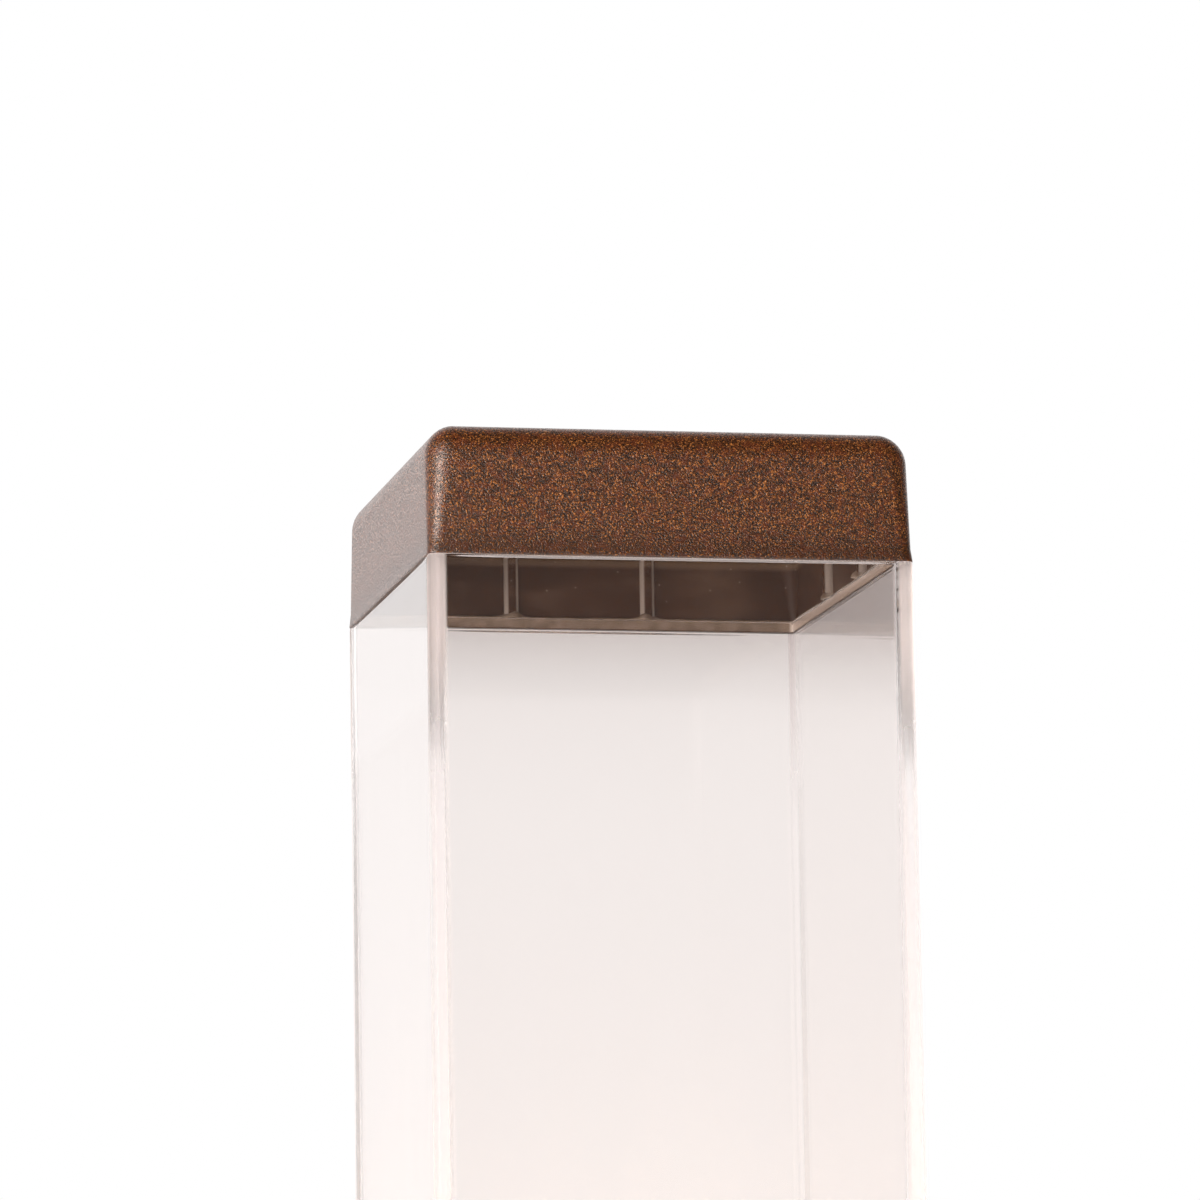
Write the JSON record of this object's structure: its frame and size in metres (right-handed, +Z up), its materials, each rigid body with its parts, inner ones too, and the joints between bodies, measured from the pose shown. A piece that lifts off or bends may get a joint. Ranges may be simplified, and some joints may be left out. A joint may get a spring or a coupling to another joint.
{
  "type": "outdoor wall lamp",
  "caption": "Square outdoor wall lantern: a clear box-shaped shade under a moulded cap lifts off a cast base that holds a screw-in bulb and stands off the wall on a canopy.",
  "frame": {"origin": "on the wall's surface, at the middle of the two wall screws", "axes": "+Z up, +Y into the wall, so the lamp stands out towards -Y; +X to the right as seen from the room"},
  "size_m": [0.1044, 0.1362, 0.346],
  "materials": {
    "cap_finish": "textured rust-brown powder coat with a fine light and dark grain",
    "body_finish": "textured rust-brown powder coat with a fine light and dark grain",
    "clear_plastic": "clear moulded plastic, polished",
    "clear_sealant": "clear sealant, uneven and glossy",
    "black_rubber": "soft black rubber, matt",
    "zinc_steel": "zinc-plated steel, lightly streaked",
    "stainless": "stainless steel screws",
    "white_ceramic": "unglazed white ceramic with fine pits",
    "nickel": "nickel-plated brass",
    "contact_bronze": "bare phosphor bronze",
    "bulb_opal": "opal white diffuser, lit warm",
    "bulb_white": "white moulded skirt",
    "bulb_black": "black insulator",
    "board_white": "white circuit board with its lights under the dome",
    "block_plastic": "ivory terminal plastic",
    "wire_brown": "brown silicone insulation",
    "wire_blue": "blue silicone insulation",
    "wire_green": "green and yellow silicone insulation",
    "tinned_copper": "tinned copper"
  },
  "bodies": {
    "root": {"shade_gasket": "black_rubber", "base_housing": "body_finish", "shade_screws": "stainless", "holder_tray": "zinc_steel", "tray_screws": "zinc_steel", "lampholder_body": "white_ceramic", "lampholder_shell": "nickel", "contact_spring": "contact_bronze", "holder_screws": "zinc_steel", "wall_neck": "body_finish", "neck_seals": "black_rubber", "wall_canopy": "body_finish", "canopy_gasket": "black_rubber", "neck_bolts": "zinc_steel", "neck_nuts": "zinc_steel", "wall_bracket": "zinc_steel", "canopy_screws": "stainless", "cable_bush": "black_rubber", "wire_bush": "black_rubber", "terminal_block": "block_plastic", "block_screws": "zinc_steel", "pole_screws": "zinc_steel", "earth_lug": "tinned_copper", "earth_screws": "zinc_steel", "wire_live": "wire_brown", "wire_neutral": "wire_blue", "wire_earth": "wire_green"},
    "shade": {"clear_shade": "clear_plastic", "top_cap": "cap_finish", "sealing_bead": "clear_sealant"},
    "bulb": {"bulb_dome": "bulb_opal", "bulb_skirt": "bulb_white", "bulb_board": "board_white", "bulb_cap": "nickel", "bulb_insulator": "bulb_black", "bulb_contact": "tinned_copper"}
  },
  "joints": [
    {"name": "shade_lift", "type": "slide", "parent": "root", "child": "shade", "axis": [0, 0, 1], "range_m": [0, 0.12]},
    {"name": "bulb_withdraw", "type": "slide", "parent": "root", "child": "bulb", "axis": [0, 0, 1], "range_m": [0, 0.03]}
  ]
}
